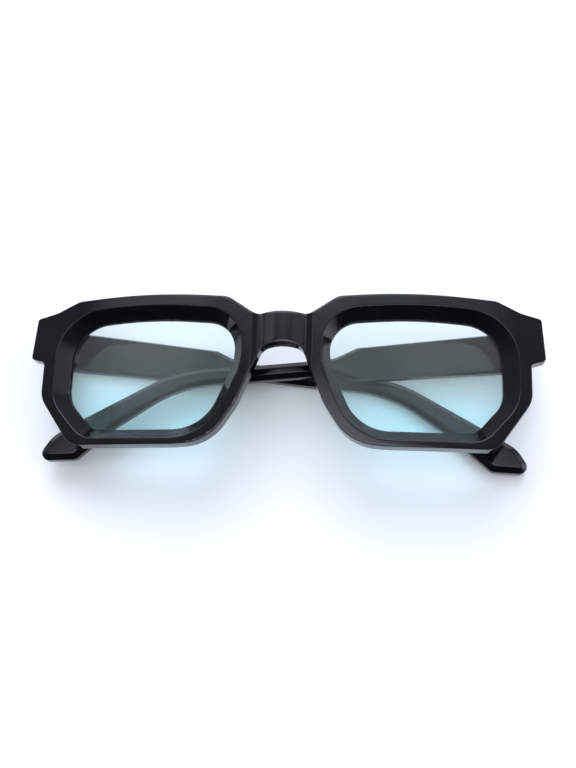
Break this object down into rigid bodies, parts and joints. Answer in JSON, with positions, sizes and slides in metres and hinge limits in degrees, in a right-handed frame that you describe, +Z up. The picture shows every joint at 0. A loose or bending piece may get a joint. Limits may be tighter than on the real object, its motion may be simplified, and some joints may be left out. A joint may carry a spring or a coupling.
{
  "type": "rectangular sunglasses",
  "caption": "Chunky black acetate sunglasses with bevelled rectangular rims and pale aqua lenses, temples folded flat behind the lenses.",
  "frame": {"origin": "under the middle of the folded pair, on the surface that it lies on", "axes": "+X along the front towards the temple that is folded inside, +Y up the front towards the brow, +Z up from the surface, out of the lenses' face"},
  "size_m": [0.1432, 0.0458, 0.0224],
  "materials": {
    "black_acetate": "tumbled and buffed cellulose acetate, deep gloss",
    "aqua_lens": "clear tinted lens, stronger low down",
    "hinge_metal": "plated nickel silver, fine tumbled",
    "core_wire": "drawn nickel silver wire",
    "screw_steel": "turned steel"
  },
  "bodies": {
    "front": {"front_frame": "black_acetate", "lens_left": "aqua_lens", "lens_right": "aqua_lens", "nose_pad_left": "black_acetate", "nose_pad_right": "black_acetate", "hinge_front_leaf_left": "hinge_metal", "hinge_front_leaf_right": "hinge_metal", "hinge_screw_left": "screw_steel", "hinge_screw_right": "screw_steel"},
    "left_temple": {"temple_left": "black_acetate", "temple_core_left": "core_wire", "hinge_temple_leaf_left": "hinge_metal"},
    "right_temple": {"temple_right": "black_acetate", "temple_core_right": "core_wire", "hinge_temple_leaf_right": "hinge_metal"}
  },
  "joints": [
    {"name": "left_temple_fold", "type": "hinge", "parent": "front", "child": "left_temple", "pos_m": [-0.06426, 0.01105, 0.0063], "axis": [0, 1, 0], "range_deg": [0, 87.87]},
    {"name": "right_temple_fold", "type": "hinge", "parent": "front", "child": "right_temple", "pos_m": [0.06465, 0.01105, 0.0111], "axis": [0, -1, 0], "range_deg": [0, 92.13]}
  ]
}
